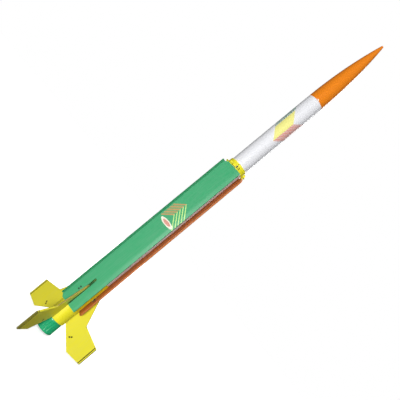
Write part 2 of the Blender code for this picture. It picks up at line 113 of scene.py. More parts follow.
def rounded(outline, radius, steps=6):
    """Rounds the corners of a closed outline. The radius is one number, or one for each corner."""
    result = []
    for i, point in enumerate(outline):
        r = radius[i] if isinstance(radius, (list, tuple)) else radius
        here = Vector(point)
        back = Vector(outline[i - 1]) - here
        ahead = Vector(outline[(i + 1) % len(outline)]) - here
        half = back.angle(ahead) / 2
        cut = min(r / math.tan(half), 0.48 * min(back.length, ahead.length))
        r = cut * math.tan(half)
        if r < 0.01:
            result.append(tuple(here))
            continue
        centre = here + (back.normalized() + ahead.normalized()).normalized() * (r / math.sin(half))
        first = here + back.normalized() * cut - centre
        last = here + ahead.normalized() * cut - centre
        sweep = first.angle(last)
        for step in range(steps + 1):
            t = step / steps
            arm = (first * math.sin((1 - t) * sweep) + last * math.sin(t * sweep)) / math.sin(sweep)
            result.append(tuple(centre + arm))
    return result


def lathe(profile, segments=96, wobble=None):
    """Turns a closed loop of (radius, height) points about Z.

    wobble(radius, angle, height) may change a radius.
    """
    bm = bmesh.new()
    rings = []
    for radius, height in profile:
        if radius < 1e-6:
            rings.append([bm.verts.new((0, 0, height))])
            continue
        ring = []
        for k in range(segments):
            angle = 2 * math.pi * k / segments
            r = wobble(radius, angle, height) if wobble else radius
            ring.append(bm.verts.new((r * math.cos(angle), r * math.sin(angle), height)))
        rings.append(ring)
    for here, there in zip(rings, rings[1:] + rings[:1]):
        for k in range(segments if len(here) + len(there) > 2 else 0):
            m = (k + 1) % segments
            corners = [here[k % len(here)], here[m % len(here)], there[m % len(there)], there[k % len(there)]]
            bm.faces.new(list(dict.fromkeys(corners)))
    return bm


def prism(outline, low, high, axis):
    """Carries an outline in the plane across an axis from low to high along it."""
    bm = bmesh.new()
    order = {"X": (2, 0, 1), "Y": (0, 2, 1), "Z": (0, 1, 2)}[axis]
    ends = []
    for along in (low, high):
        ends.append([bm.verts.new([(*point, along)[i] for i in order]) for point in outline])
    bm.faces.new(ends[0])
    bm.faces.new(ends[1])
    for i in range(len(outline)):
        j = (i + 1) % len(outline)
        bm.faces.new((ends[0][i], ends[0][j], ends[1][j], ends[1][i]))
    return bm


def block(x, y, z):
    return prism([(x[0], y[0]), (x[1], y[0]), (x[1], y[1]), (x[0], y[1])], *z, "Z")


def rod(start, end, radius, segments=32, dome=0.0):
    """A round bar between two points, with its end edges turned over by a dome height."""
    start, end = Vector(start), Vector(end)
    length = (end - start).length
    profile = [(0, 0), (radius * 0.6, 0.1 * dome), (radius, dome), (radius, length - dome),
               (radius * 0.6, length - 0.1 * dome), (0, length)]
    if dome == 0.0:
        profile = [(0, 0), (radius, 0), (radius, length), (0, length)]
    bm = lathe(profile, segments)
    turn = (end - start).to_track_quat("Z", "Y").to_matrix().to_4x4()
    bmesh.ops.transform(bm, matrix=Matrix.Translation(start) @ turn, verts=bm.verts)
    return bm


def wire(points, radius):
    """A round wire through a list of points, with flat ends."""
    segments = 12
    bm = bmesh.new()
    points = [Vector(point) for point in points]
    side = Vector((0, 1, 0))
    rings = []
    for i, point in enumerate(points):
        along = (points[min(i + 1, len(points) - 1)] - points[max(i - 1, 0)]).normalized()
        side = (side - along * side.dot(along)).normalized()
        across = along.cross(side)
        ring = []
        for k in range(segments):
            angle = 2 * math.pi * k / segments
            ring.append(bm.verts.new(point + (side * math.cos(angle) + across * math.sin(angle)) * radius))
        rings.append(ring)
    for here, there in zip(rings, rings[1:]):
        for k in range(segments):
            m = (k + 1) % segments
            bm.faces.new((here[k], here[m], there[m], there[k]))
    bm.faces.new(rings[0])
    bm.faces.new(rings[-1])
    return bm


def turned(bm, angle):
    bmesh.ops.rotate(bm, matrix=Matrix.Rotation(angle, 3, "Z"), verts=bm.verts)
    return bm


def canted(bm):
    """Leans hinge parts about the radial line through the pin."""
    lean = Matrix.Rotation(HINGE_CANT, 3, "X")
    bmesh.ops.rotate(bm, cent=(HINGE_R, 0, HINGE_Z), matrix=lean, verts=bm.verts)
    return bm


def hinge_rod(left, right, radius, segments=32, dome=0.0):
    """A round bar on the hinge's axis, between two places across the blade."""
    return canted(rod((HINGE_R, left, HINGE_Z), (HINGE_R, right, HINGE_Z), radius, segments, dome))


def slotted_tube(inner, outer, bottom, top):
    """A thin tube with three square windows for the blades' catches: a grid that leaves those cells open."""
    segments, rim, window_half, window_height = 120, 0.3, 1.5, 8.0
    full_turn, hair = 2 * math.pi, 1e-6
    window = [math.asin(y / outer) for y in (CATCH_Y - window_half, CATCH_Y + window_half)]
    half = window[1] - window[0]
    starts, ends = ([(side + turn) % full_turn for turn in STATIONS.values()] for side in window)
    sides = starts + ends
    sill = CATCH_TANGS[0] - window_height / 2
    levels = [bottom, bottom + rim, sill, sill + window_height, top - rim, top]
    step = full_turn / segments
    even = (k * step for k in range(segments))
    angles = sorted([a for a in even if min(abs(a - side) for side in sides) > step * 0.45] + sides)

    def open_cell(angle, level):
        return levels[level] == sill and any(-hair <= angle - start < half - hair for start in starts)

    bm = bmesh.new()
    outside, inside = (
        [[bm.verts.new((radius * math.cos(a), radius * math.sin(a), z)) for a in angles] for z in levels]
        for radius in (outer, inner))

    def wall(level, i, next_level, j):
        bm.faces.new((outside[level][i], outside[next_level][j], inside[next_level][j], inside[level][i]))

    last = len(levels) - 1
    for i in range(len(angles)):
        j = (i + 1) % len(angles)
        for level in range(last):
            if open_cell(angles[i], level):
                wall(level, i, level, j)
                wall(level + 1, i, level + 1, j)
                if not open_cell(angles[i - 1], level):
                    wall(level, i, level + 1, i)
                if not open_cell(angles[j], level):
                    wall(level, j, level + 1, j)
                continue
            for shell in (outside, inside):
                bm.faces.new((shell[level][i], shell[level][j], shell[level + 1][j], shell[level + 1][i]))
        wall(0, i, 0, j)
        wall(last, i, last, j)
    return bm


# ---------------------------------------------------------------- making pieces

def plain_object(name, bm):
    bmesh.ops.scale(bm, vec=(MM, MM, MM), verts=bm.verts)
    bmesh.ops.recalc_face_normals(bm, faces=bm.faces)
    mesh = bpy.data.meshes.new(name)
    bm.to_mesh(mesh)
    bm.free()
    obj = bpy.data.objects.new(name, mesh)
    bpy.context.scene.collection.objects.link(obj)
    return obj


def carve(obj, bm, operation="DIFFERENCE"):
    """Cuts or adds a helper solid at once, and leaves no modifier behind."""
    helper = plain_object("helper", bm)
    modifier = obj.modifiers.new("carve", "BOOLEAN")
    modifier.operation = operation
    modifier.solver = "EXACT"
    modifier.object = helper
    bpy.context.view_layer.update()
    result = bpy.data.meshes.new_from_object(obj.evaluated_get(bpy.context.evaluated_depsgraph_get()))
    obj.modifiers.clear()
    obj.data = result
    bpy.data.objects.remove(helper)


def soften(obj, width, segments=3, limit=40.0):
    """Rounds the edges sharper than a limit, as sanding and moulding leave them."""
    bevel = obj.modifiers.new("soft edges", "BEVEL")
    bevel.width = width * MM
    bevel.segments = segments
    bevel.limit_method = "ANGLE"
    bevel.angle_limit = math.radians(limit)
    bevel.use_clamp_overlap = False
    bevel.miter_outer = "MITER_ARC"
    normals = obj.modifiers.new("even shading", "WEIGHTED_NORMAL")
    normals.keep_sharp = True


def fit(obj, paint, body, replaces, sharp=40.0):
    """Gives a piece its material, its smooth shading, and its place in the table."""
    obj.data.materials.clear()
    obj.data.materials.append(paint)
    obj.data.shade_smooth()
    obj.data.set_sharp_from_angle(angle=math.radians(sharp))
    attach(obj, body)
    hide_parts(*replaces)
    return obj


# ---------------------------------------------------------------- materials

class Paint:
    """A node material, with short calls for its nodes. Coordinates are the frame's, in millimetres."""

    def __init__(self, name, roughness, metallic=0.0, coat=0.0, coat_roughness=0.1, specular=0.5):
        self.material = bpy.data.materials.new(name)
        self.material.use_nodes = True
        self.tree = self.material.node_tree
        self.shader = self.tree.nodes["Principled BSDF"]
        for socket, value in (("Roughness", roughness), ("Metallic", metallic), ("Coat Weight", coat),
                              ("Coat Roughness", coat_roughness), ("Specular IOR Level", specular)):
            self.shader.inputs[socket].default_value = value
        place = self.node("TexCoord").outputs["Object"]
        self.place = self.vector("SCALE", place, scale=1 / MM)
        axes = self.node("SeparateXYZ")
        self.feed(axes.inputs[0], self.place)
        self.x, self.y, self.z = axes.outputs

    def node(self, kind, **settings):
        made = self.tree.nodes.new("ShaderNode" + kind)
        for key, value in settings.items():
            setattr(made, key, value)
        return made

    def feed(self, socket, value):
        if isinstance(value, bpy.types.NodeSocket):
            self.tree.links.new(value, socket)
        else:
            socket.default_value = value

    def vector(self, operation, a, b=None, scale=None):
        made = self.node("VectorMath", operation=operation)
        self.feed(made.inputs[0], a)
        if b is not None:
            self.feed(made.inputs[1], b)
        if scale is not None:
            made.inputs["Scale"].default_value = scale
        return made.outputs[0]

    def math(self, operation, a, b=0.0, clamp=False):
        made = self.node("Math", operation=operation, use_clamp=clamp)
        self.feed(made.inputs[0], a)
        self.feed(made.inputs[1], b)
        return made.outputs[0]

    def total(self, *terms):
        result = terms[0]
        for term in terms[1:]:
            result = self.math("ADD", result, term)
        return result

    def product(self, *factors):
        result = factors[0]
        for factor in factors[1:]:
            result = self.math("MULTIPLY", result, factor)
        return result

    def distance(self, a, b):
        return self.math("SQRT", self.total(self.product(a, a), self.product(b, b)))

    def away(self, a, b, point):
        """Distance of a pair of coordinates from a point."""
        return self.distance(self.math("SUBTRACT", a, point[0]), self.math("SUBTRACT", b, point[1]))

    def radius(self):
        return self.distance(self.x, self.y)

    def angle(self):
        return self.math("ARCTAN2", self.y, self.x)

    def above(self, value, level, soft=0.12):
        """0 below a level and 1 above it, with a soft step."""
        shifted = self.math("SUBTRACT", value, level)
        return self.math("ADD", self.math("DIVIDE", shifted, soft), 0.5, clamp=True)

    def below(self, value, level, soft=0.12):
        return self.math("SUBTRACT", 1.0, self.above(value, level, soft))

    def between(self, value, low, high, soft=0.12):
        return self.product(self.above(value, low, soft), self.below(value, high, soft))

    def stripes(self, value, period, share, soft=0.12):
        """1 on stripes that fill a share of each period of a value."""
        return self.between(self.math("MODULO", value, period), soft / 2, period * share, soft)

    def spiral(self, rise, low, high, soft):
        """1 on a joint that winds up a tube by a rise for each turn, between two shares of the rise."""
        turns = self.total(self.math("DIVIDE", self.z, rise),
                           self.math("DIVIDE", self.angle(), 2 * math.pi), 10.0)
        return self.between(self.math("FRACT", turns), low, high, soft)

    def noise(self, scale, stretch=(1, 1, 1), detail=4.0, roughness=0.55):
        """Noise with features of about 1/scale mm, from 0 to 1."""
        made = self.node("TexNoise")
        self.feed(made.inputs["Vector"], self.vector("MULTIPLY", self.place, stretch))
        for socket, value in (("Scale", scale), ("Detail", detail), ("Roughness", roughness)):
            made.inputs[socket].default_value = value
        return self.spread(made.outputs[0], 0.0, 1.0)

    def spread(self, value, low, high):
        """Carries the middle of a noise's span, 0.3 to 0.7, onto low to high."""
        made = self.node("MapRange")
        for socket, number in (("From Min", 0.3), ("From Max", 0.7), ("To Min", low), ("To Max", high)):
            made.inputs[socket].default_value = number
        self.feed(made.inputs["Value"], value)
        return made.outputs[0]

    def mix(self, share, a, b):
        made = self.node("Mix", data_type="RGBA")
        self.feed(made.inputs["Factor"], share)
        for socket, value in (("A", a), ("B", b)):
            target = next(s for s in made.inputs if s.name == socket and s.type == "RGBA")
            self.feed(target, value if isinstance(value, bpy.types.NodeSocket) else (*value, 1.0))
        return next(s for s in made.outputs if s.type == "RGBA")

    def finish(self, colour, rough=None, height=None, depth=0.02):
        """Wires the colour, the roughness, and a bump whose depth is in millimetres."""
        self.feed(self.shader.inputs["Base Color"], colour)
        if rough is not None:
            self.feed(self.shader.inputs["Roughness"], rough)
        if height is not None:
            bump = self.node("Bump")
            bump.inputs["Strength"].default_value = 1.0
            bump.inputs["Distance"].default_value = depth * MM
            self.feed(bump.inputs["Height"], height)
            self.feed(self.shader.inputs["Normal"], bump.outputs[0])
        return self.material


def shade(colour, factor):
    return tuple(min(1.0, channel * factor) for channel in colour)


GREEN = (0.040, 0.415, 0.165)
# Darker orange, painted shade: the orange blade's edges, back and hinge plate; its outer face gets
# FACE_ORANGES.
SHADED_ORANGE = (0.600, 0.165, 0.022)
WHITE = (0.885, 0.890, 0.920)
YELLOW = (0.930, 0.840, 0.026)
MOULDED_GREEN = (0.016, 0.420, 0.170)
MOULDED_ORANGE = (0.930, 0.260, 0.010)
# Painted shade for the hidden green blade's long edges.
SHADED_EDGE_GREEN = (0.012, 0.270, 0.098)
FACE_ORANGES = (0.900, 0.260, 0.016), (0.800, 0.220, 0.012)
INK_GREEN = (0.020, 0.260, 0.110)
INK_LEMON = (0.930, 0.880, 0.280)
INK_SALMON = (0.800, 0.270, 0.190)
INK_TAN = (0.640, 0.340, 0.130)
INK_LIME = (0.620, 0.930, 0.300)
INK_CREAM = (0.930, 0.900, 0.740)
INK_ROSE = (0.700, 0.240, 0.180)
# Painted shadow of the blades' fin slots, on the fins' roots and on the sleeve.
SLOT_SHADE_GREEN = (0.004, 0.110, 0.036)
CATCH_STAIN = (0.010, 0.050, 0.022)
# Painted shade along the fins' leading edges.
LEADING_EDGE_SHADE = (0.300, 0.240, 0.070)
# Painted shade for the fins' rounded tip edge, the scribed groove inside it and the pin holes.
TIP_AND_HOLE_SHADE = (0.040, 0.034, 0.008)
KRAFTS = (0.400, 0.265, 0.150), (0.545, 0.385, 0.235)
KRAFT_FLECK = (0.240, 0.150, 0.080)
KRAFT_JOINT = (0.220, 0.140, 0.080)
BALSAS = (0.500, 0.345, 0.185), (0.700, 0.545, 0.335)
STEEL_STAIN = (0.200, 0.150, 0.100)
FLOOR_GREYS = (0.860, 0.860, 0.860), (0.890, 0.890, 0.890)

# The green blade's transfer: five nested chevrons, with an oval below them.
CHEVRON_BOTTOM, CHEVRON_TOP, CHEVRON_FIRST = 211.4, 233.6, 211.6
CHEVRON_LEFT, CHEVRON_POINT, CHEVRON_RIGHT = -11.6, -0.4, 14.0
CHEVRON_SLOPE, CHEVRON_PITCH, CHEVRON_SHARE = 1.06, 4.85, 0.42
OVAL_CENTRE, OVAL_HALF, OVAL_HEART = (1.6, 199.0), (10.6, 3.4), 0.62

# The tube's striped transfer: a pointed band, with places across it measured from its point.
TRANSFER_VERTEX, TRANSFER_SLOPE = 7.0, 1.12
TRANSFER_BOTTOM, TRANSFER_TOP, TRANSFER_FIRST = 370.5, 405.0, 370.0
TRANSFER_FAR_LEFT, TRANSFER_LEFT, TRANSFER_RIGHT = (-31.0, -13.8), (-13.6, 0.0), (0.0, 21.0)
TRANSFER_PITCH, TRANSFER_SHARE = 3.1, 0.55


def painted_wood(name, colour, across=1.4, marks=None):
    """Brushed gloss paint over sanded balsa: grain just shows through, the coat is a little uneven."""
    p = Paint(name, 0.38, coat=0.14, coat_roughness=0.28, specular=0.32)
    grain = p.noise(across, (1, 1, 0.035), detail=5.0)
    pores = p.noise(across * 3.2, (1, 1, 0.06), detail=3.0)
    clouds = p.noise(0.045, detail=3.0)
    colour = p.mix(p.product(clouds, 0.30), colour, shade(colour, 0.90))
    colour = p.mix(p.product(grain, 0.10), colour, shade(WHITE, 0.55))
    height = p.total(p.product(grain, 0.7), p.product(pores, 0.3))
    if marks:
        colour, height = marks(p, colour, height)
    rough = p.spread(p.noise(0.35, detail=5.0), 0.30, 0.42)
    return p.finish(colour, rough, height, 0.004)


def chevron_marks(p, colour, height):
    """The green blade's transfer on its outer face, and stains round its catch's two holes."""
    outer_face = p.above(p.x, BLADE_OUTER - 0.5)
    from_point = p.math("ABSOLUTE", p.math("SUBTRACT", p.y, CHEVRON_POINT))
    along = p.total(p.z, p.product(from_point, CHEVRON_SLOPE))
    lines = p.product(
        p.stripes(p.math("SUBTRACT", along, CHEVRON_FIRST), CHEVRON_PITCH, CHEVRON_SHARE, 0.35),
        p.between(along, CHEVRON_BOTTOM, CHEVRON_TOP, 0.2), outer_face)
    left_side = p.between(p.y, CHEVRON_LEFT, CHEVRON_POINT, 0.3)
    left = p.product(lines, left_side)
    right = p.product(lines, p.between(p.y, CHEVRON_POINT, CHEVRON_RIGHT, 0.3))
    veil = p.product(p.between(along, CHEVRON_BOTTOM, CHEVRON_TOP - 0.6, 0.4), outer_face, left_side)
    oval = p.distance(*(p.math("DIVIDE", p.math("SUBTRACT", place, middle), half)
                        for place, middle, half in zip((p.y, p.z), OVAL_CENTRE, OVAL_HALF)))
    disc = p.product(p.below(oval, 1.0, 0.05), outer_face)
    heart = p.product(p.below(oval, OVAL_HEART, 0.08), outer_face)
    for tang in CATCH_TANGS:
        stain = p.below(p.away(p.y, p.z, (CATCH_Y, tang)), 1.2, 0.5)
        colour = p.mix(p.product(stain, outer_face, 0.8), colour, CATCH_STAIN)
    colour = p.mix(p.product(veil, 0.30), colour, INK_TAN)
    colour = p.mix(p.product(left, 0.90), colour, INK_TAN)
    colour = p.mix(p.product(right, 0.92), colour, INK_LIME)
    colour = p.mix(disc, colour, INK_CREAM)
    colour = p.mix(p.product(heart, 0.85), colour, INK_ROSE)
    ink = p.math("MAXIMUM", p.math("MAXIMUM", left, right), disc)
    return colour, p.total(height, p.product(ink, 0.8))


def station_axes(p, number):
    """Coordinate outwards at a station, and distance across from its middle."""
    cosine, sine = math.cos(STATIONS[number]), math.sin(STATIONS[number])
    outward = p.total(p.product(p.x, cosine), p.product(p.y, sine))
    across = p.total(p.product(p.x, -sine), p.product(p.y, cosine))
    return outward, p.math("ABSOLUTE", across)


def painted_shade_edges(p, colour, height):
    """The hidden green blade: its long edges darkened with painted shade."""
    edge = p.above(station_axes(p, 3)[1], BLADE_RIGHT - 0.4, 0.4)
    return p.mix(p.product(edge, 0.9), colour, SHADED_EDGE_GREEN), height


def bright_face(p, colour, height):
    """The orange blade's outer face in its own brighter orange; its edges and its back keep a darker orange,
    painted shade.
    """
    outward, across = station_axes(p, 2)
    face = p.product(p.above(outward, BLADE_OUTER - 0.3, 0.3), p.below(across, BLADE_RIGHT - 1.3, 0.5))
    clouds = p.noise(0.08, detail=3.0)
    bright = p.mix(p.product(clouds, 0.25), *FACE_ORANGES)
    return p.mix(p.product(face, 0.92), colour, bright), height


def fin_marks(p, colour, height):
    """A scribed line inside the tip edge and a pair of pin holes, dark with painted shade as is the tip edge;
    painted shade along the leading edge; a painted shadow of the blade's slot along the root.
    """
    r = p.radius()
    forward, upward = FIN_KINK[0] - FIN_ROOT, FIN_ROOT_TOP - FIN_KINK[1]
    run = math.hypot(forward, upward)
    inward = p.total(p.product(p.math("SUBTRACT", FIN_KINK[0], r), upward / run),
                     p.product(p.math("SUBTRACT", FIN_KINK[1], p.z), forward / run))
    # Painted shade along the leading edge.
    leading_shade = p.product(p.below(inward, 0.45, 0.4), p.above(p.z, FIN_KINK[1], 4.0))
    colour = p.mix(p.product(leading_shade, 0.85), colour, LEADING_EDGE_SHADE)
    # Painted shadow of the blade's slot along the fin's root.
    wedge = p.total(p.product(p.math("SUBTRACT", FIN_ROOT_TOP, p.z), 0.085), BLADE_OUTER + 0.4)
    slot_shade = p.product(p.below(p.math("SUBTRACT", r, wedge), 0.0, 1.0), p.above(p.z, BLADE_BOTTOM + 1.0, 1.5))
    colour = p.mix(p.product(slot_shade, 0.94), colour, SLOT_SHADE_GREEN)
    # Painted shade: a dark rounded tip edge, a dark scribed groove inside it, and dark pin holes.
    line = p.between(r, FIN_TIP - 4.0, FIN_TIP - 2.7, 0.3)
    edge = p.above(r, FIN_TIP - 1.3, 0.4)
    marks = p.math("MAXIMUM", line, p.product(edge, 0.9))
    for offset in (-0.95, 0.95):
        hole = p.away(r, p.z, (PIN_HOLES[0] + offset, PIN_HOLES[1] + offset))
        marks = p.math("MAXIMUM", marks, p.below(hole, 1.15, 0.2))
    colour = p.mix(p.product(marks, 0.94), colour, TIP_AND_HOLE_SHADE)
    return colour, p.math("SUBTRACT", height, p.product(marks, 3.0))


def coated_paper():
    """The white tube's smooth coated paper, with a faint spiral seam, and the striped transfer."""
    p = Paint("white_tube_paper", 0.42, coat=0.12, coat_roughness=0.25, specular=0.4)
    seam = p.spiral(38.0, 0.49, 0.503, 0.008)
    fibres = p.noise(2.2, detail=5.0)
    clouds = p.noise(0.06, detail=3.0)
    colour = p.mix(p.product(clouds, 0.35), WHITE, shade(WHITE, 0.94))
    colour = p.mix(p.product(seam, 0.16), colour, shade(WHITE, 0.5))
    outside = p.above(p.radius(), TUBE_R - 0.2)
    across = p.math("SUBTRACT", p.product(p.angle(), TUBE_R), TRANSFER_VERTEX)
    rise = p.math("SUBTRACT", p.z, p.product(p.math("ABSOLUTE", across), TRANSFER_SLOPE))
    band = p.product(p.between(rise, TRANSFER_BOTTOM, TRANSFER_TOP, 0.3), outside)
    far_left, left, right = (p.product(band, p.between(across, *ends, 0.15))
                             for ends in (TRANSFER_FAR_LEFT, TRANSFER_LEFT, TRANSFER_RIGHT))
    fine = p.stripes(p.math("SUBTRACT", rise, TRANSFER_FIRST), TRANSFER_PITCH, TRANSFER_SHARE, 0.3)
    colour = p.mix(left, colour, p.mix(p.product(fine, 0.25), INK_LEMON, shade(INK_LEMON, 1.15)))
    colour = p.mix(p.product(right, p.math("MAXIMUM", fine, 0.42)), colour, INK_SALMON)
    colour = p.mix(p.product(far_left, fine), colour, INK_GREEN)
    height = p.total(p.product(fibres, 0.15), p.product(seam, -1.0))
    rough = p.spread(p.noise(0.5, detail=4.0), 0.38, 0.50)
    return p.finish(colour, rough, height, 0.012)


def hinge_plate_paint(name, blade_colour):
    """The yellow hinge moulding, painted over with its blade below the blade's top edge."""
    p = Paint(name, 0.32, coat=0.25, coat_roughness=0.1)
    share = p.above(p.z, BLADE_TOP - 0.1, 0.3)
    flow = p.noise(0.3, (1, 1, 0.2), detail=3.0)
    colour = p.mix(share, blade_colour, YELLOW)
    colour = p.mix(p.product(flow, 0.2), colour, shade(blade_colour, 0.7))
    return p.finish(colour, p.spread(p.noise(0.8, detail=4.0), 0.28, 0.38), flow, 0.004)


def sleeve_slot_shade(p, colour):
    """Painted shadow in dark green, on the sleeve under the top of each blade's slot."""
    inside = p.above(p.math("COSINE", p.product(p.angle(), 3.0)), 0.92, 0.03)
    mark = p.product(inside, p.between(p.z, FIN_ROOT_TOP - 4.0, FIN_ROOT_TOP + 3.7, 0.5))
    return p.mix(p.product(mark, 0.94), colour, SLOT_SHADE_GREEN)


def moulded(name, colour, roughness, marks=None):
    """Injection-moulded plastic: gloss, with very fine orange peel and slight flow marks along the part."""
    p = Paint(name, roughness, coat=0.25, coat_roughness=0.08)
    flow = p.noise(0.25, (1, 1, 0.12), detail=3.0)
    peel = p.noise(1.6, detail=2.0)
    colour = p.mix(p.product(flow, 0.30), colour, shade(colour, 0.88))
    if marks:
        colour = marks(p, colour)
    rough = p.spread(p.noise(0.8, detail=4.0), roughness - 0.05, roughness + 0.07)
    return p.finish(colour, rough, peel, 0.004)


def kraft(name, winding=True):
    """Brown wound paper or fibre board: short fibres, flecks, and on tubes the spiral joint."""
    p = Paint(name, 0.86, specular=0.25)
    fibres = p.noise(3.0, (1, 1, 0.35), detail=6.0, roughness=0.7)
    flecks = p.above(p.noise(5.0, detail=2.0), 0.93, 0.1)
    colour = p.mix(fibres, *KRAFTS)
    colour = p.mix(p.product(flecks, 0.5), colour, KRAFT_FLECK)
    height = fibres
    if winding:
        joint = p.spiral(24.0, 0.49, 0.51, 0.01)
        colour = p.mix(p.product(joint, 0.45), colour, KRAFT_JOINT)
        height = p.math("SUBTRACT", fibres, joint)
    return p.finish(colour, None, height, 0.05)


def bare_balsa():
    p = Paint("bare_balsa_grain", 0.78, specular=0.25)
    grain = p.noise(1.6, (1, 1, 0.04), detail=6.0, roughness=0.65)
    colour = p.mix(grain, *BALSAS)
    return p.finish(colour, None, grain, 0.04)


def spring_steel(name, tone, roughness=0.32, metallic=0.7):
    p = Paint(name, roughness, metallic=metallic)
    drawn = p.noise(4.0, (1, 1, 0.08), detail=4.0)
    stain = p.noise(0.4, detail=3.0)
    colour = p.mix(p.product(drawn, 0.5), (tone, tone * 1.01, tone * 1.04), shade((tone, tone, tone), 0.62))
    colour = p.mix(p.product(stain, 0.2), colour, STEEL_STAIN)
    rough = p.spread(drawn, roughness - 0.06, roughness + 0.12)
    return p.finish(colour, rough, drawn, 0.008)


# ---------------------------------------------------------------- pieces of the airframe

def make_airframe(yellow_plastic, sleeve_plastic, white_paper, fin_paint, steel, balsa):
    tube = plain_object("tube_shell", slotted_tube(TUBE_BORE, TUBE_R, TUBE_BOTTOM, TUBE_TOP))
    fit(tube, white_paper, "airframe", ["body_tube"])
    sleeve = plain_object("sleeve_shell", slotted_tube(TUBE_R + SLIP_FIT, SLEEVE_R, TUBE_BOTTOM, SLEEVE_TOP))
    fit(sleeve, sleeve_plastic, "airframe", ["fin_sleeve"])
    make_hub(yellow_plastic)
    for number, angle in STATIONS.items():
        make_fin(number, angle, fin_paint)
        pin = plain_object(f"pin_wire_{number}", turned(hinge_rod(-7.8, 7.8, PIN_R, dome=0.25), angle))
        fit(pin, steel, "airframe", [f"hinge_pin_{number}"])
        make_spring(number, angle, steel)
    for end in ("front", "rear"):
        make_launch_lug(end, white_paper, balsa)


def make_fin(number, angle, paint):
    """A sanded balsa fin: round tip, leading and trailing edges, small radii at its corners."""
    outline = [
        (FIN_ROOT, FIN_ROOT_BOTTOM),
        (FIN_FOOT_R, 0.0),
        (FIN_TIP, 0.0),
        (FIN_TIP, FIN_TIP_TOP),
        FIN_KINK,
        (FIN_ROOT, FIN_ROOT_TOP),
    ]
    bm = prism(rounded(outline, [0.3, 1.2, 1.0, 1.0, 3.0, 0.3]), -FIN_HALF, FIN_HALF, "Y")
    fin = plain_object(f"fin_panel_{number}", turned(bm, angle))
    soften(fin, 0.85, 4)
    fit(fin, paint, "airframe", [f"fin_{number}"])


def make_hub(paint):
    """The collar, with a bored lug for each blade's hinge pin."""
    bore, lug_half, lug_bottom = TUBE_R + SLIP_FIT, 2.8, HUB_BOTTOM + 0.3
    collar = [(bore, HUB_BOTTOM), (HUB_R, HUB_BOTTOM), (HUB_R, HUB_TOP), (bore, HUB_TOP)]
    hub = plain_object("hub_collar", lathe(rounded(collar, [0.05, 0.3, 0.8, 0.05]), 120))
    lug = rounded([
        (HUB_R - 0.6, lug_bottom),
        (LUG_FACE, lug_bottom),
        (LUG_FACE, HINGE_Z + 2.4),
        (LUG_FACE - 1.2, HUB_TOP - 1.3),
        (HUB_R - 0.6, HUB_TOP - 0.9),
    ], [0.02, 0.6, 0.8, 0.8, 0.02], 4)
    for angle in STATIONS.values():
        carve(hub, turned(prism(lug, -lug_half, lug_half, "Y"), angle), "UNION")
    for angle in STATIONS.values():
        carve(hub, turned(hinge_rod(-lug_half - 2, lug_half + 2, PIN_BORE_R), angle))
    soften(hub, 0.18, 2, 50.0)
    fit(hub, paint, "airframe", ["rotor_hub"])


def make_spring(number, angle, steel):
    """A round-wire torsion spring: a leg up the hub, three turns on the pin, a leg down behind the blade."""
    turns, per_turn, coil = 3, 24, 1.15
    start, end = 3.25, 4.4
    points = [(HINGE_R - coil + 0.3, start, HINGE_Z + 2.4), (HINGE_R - coil + 0.05, start, HINGE_Z + 0.8)]
    for step in range(turns * per_turn + 1):
        sweep = math.pi + 2 * math.pi * step / per_turn
        share = step / (turns * per_turn)
        points.append((HINGE_R + coil * math.cos(sweep), start + (end - start) * share,
                       HINGE_Z + coil * math.sin(sweep)))
    leg = BLADE_INNER - 0.55
    points += [(leg + 0.5, end, HINGE_Z - 1.3), (leg + 0.1, end, HINGE_Z - 2.6), (leg, end, HINGE_Z - 10.0)]
    spring = plain_object(f"spring_coil_{number}", turned(canted(wire(points, 0.17)), angle))
    fit(spring, steel, "airframe", [f"blade_spring_{number}"])


def make_launch_lug(end, paper, balsa):
    """A short paper tube on its balsa strip, for the launch rod."""
    low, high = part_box(f"launch_lug_{end}")
    centre = (low + high) / 2 / MM
    outer = (high.y - low.y) / 2 / MM
    inner = outer - PAPER_WALL
    bottom, top = low.z / MM, high.z / MM
    bm = lathe(rounded([(inner, bottom), (outer, bottom), (outer, top), (inner, top)], 0.1, 3), 64)
    bmesh.ops.translate(bm, vec=(centre.x, centre.y, 0), verts=bm.verts)
    fit(plain_object(f"rod_lug_{end}", bm), paper, "airframe", [f"launch_lug_{end}"])
    low, high = (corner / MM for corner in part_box(f"lug_standoff_{end}"))
    strip = plain_object(f"lug_strip_{end}", block(*zip(low, high)))
    soften(strip, 0.15, 2)
    fit(strip, balsa, "airframe", [f"lug_standoff_{end}"])


# ---------------------------------------------------------------- rotor blades

